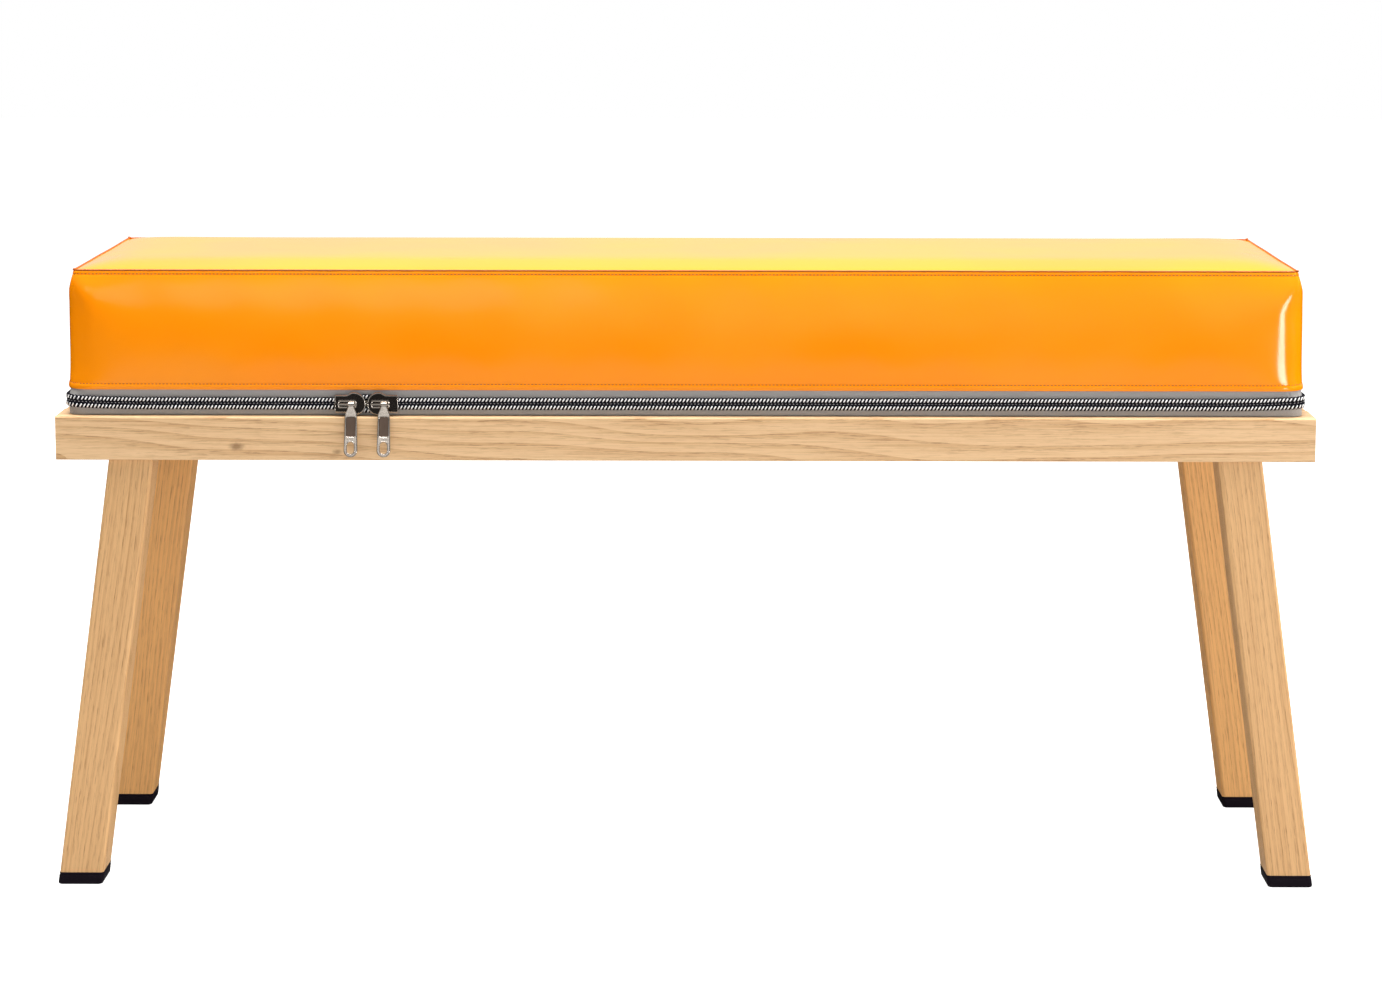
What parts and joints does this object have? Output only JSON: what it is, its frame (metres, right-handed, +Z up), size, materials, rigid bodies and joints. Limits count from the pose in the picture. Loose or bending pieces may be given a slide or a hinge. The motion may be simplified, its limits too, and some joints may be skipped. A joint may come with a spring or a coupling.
{
  "type": "upholstered bench",
  "caption": "Low upholstered bench: an oak frame on splayed legs with rubber feet, and a glossy box cushion whose cover comes off by a zip run all the way round.",
  "frame": {"origin": "on the floor under the middle of the oak frame", "axes": "+X along the bench, -Y the front with the sliders, +Z up"},
  "size_m": [1.0174, 0.2792, 0.512],
  "materials": {
    "oak": "clear satin lacquer over oiled oak",
    "plywood": "bare birch plywood",
    "beech": "bare beech",
    "black_rubber": "matt moulded rubber",
    "orange_cover": "glossy coated upholstery fabric",
    "foam": "open-cell foam",
    "wadding": "polyester wadding",
    "grey_tape": "woven twill tape",
    "black_coil": "wound nylon coil with sewing thread",
    "zinc_steel": "bright zinc-plated steel",
    "nickel": "polished black-nickel-plated zinc alloy"
  },
  "bodies": {
    "bench": {"front_rail": "oak", "back_rail": "oak", "left_rail": "oak", "right_rail": "oak", "leg_front_left": "oak", "leg_back_left": "oak", "leg_front_right": "oak", "leg_back_right": "oak", "foot_front_left": "black_rubber", "foot_back_left": "black_rubber", "foot_front_right": "black_rubber", "foot_back_right": "black_rubber", "seat_board": "plywood", "foam_core": "foam", "wadding_wrap": "wadding", "cover_top": "orange_cover", "cover_band": "orange_cover", "upper_tape": "grey_tape", "lower_tape": "grey_tape", "zip_end_tab": "orange_cover", "upper_coil": "black_coil", "lower_coil": "black_coil", "frame_dowels": "beech", "leg_dowels": "beech", "leg_bolts": "zinc_steel", "leg_washers": "zinc_steel", "leg_inserts": "zinc_steel", "board_screws": "zinc_steel", "foot_screws": "zinc_steel", "tape_staples": "zinc_steel"},
    "left_slider": {"left_slider": "nickel"},
    "right_slider": {"right_slider": "nickel"},
    "left_pull": {"left_pull": "nickel"},
    "right_pull": {"right_pull": "nickel"}
  },
  "joints": [
    {"name": "left_slide", "type": "slide", "parent": "bench", "child": "left_slider", "axis": [1, 0, 0], "range_m": [-0.19, 0], "deforming": ["upper_coil", "lower_coil"]},
    {"name": "right_slide", "type": "slide", "parent": "bench", "child": "right_slider", "axis": [1, 0, 0], "range_m": [0, 0.7], "deforming": ["upper_coil", "lower_coil"]},
    {"name": "left_pull_swing", "type": "hinge", "parent": "left_slider", "child": "left_pull", "pos_m": [-0.2647, -0.1336, 0.395], "axis": [-1, 0, 0], "range_deg": [0, 150]},
    {"name": "right_pull_swing", "type": "hinge", "parent": "right_slider", "child": "right_pull", "pos_m": [-0.2386, -0.1336, 0.395], "axis": [-1, 0, 0], "range_deg": [0, 150]}
  ]
}
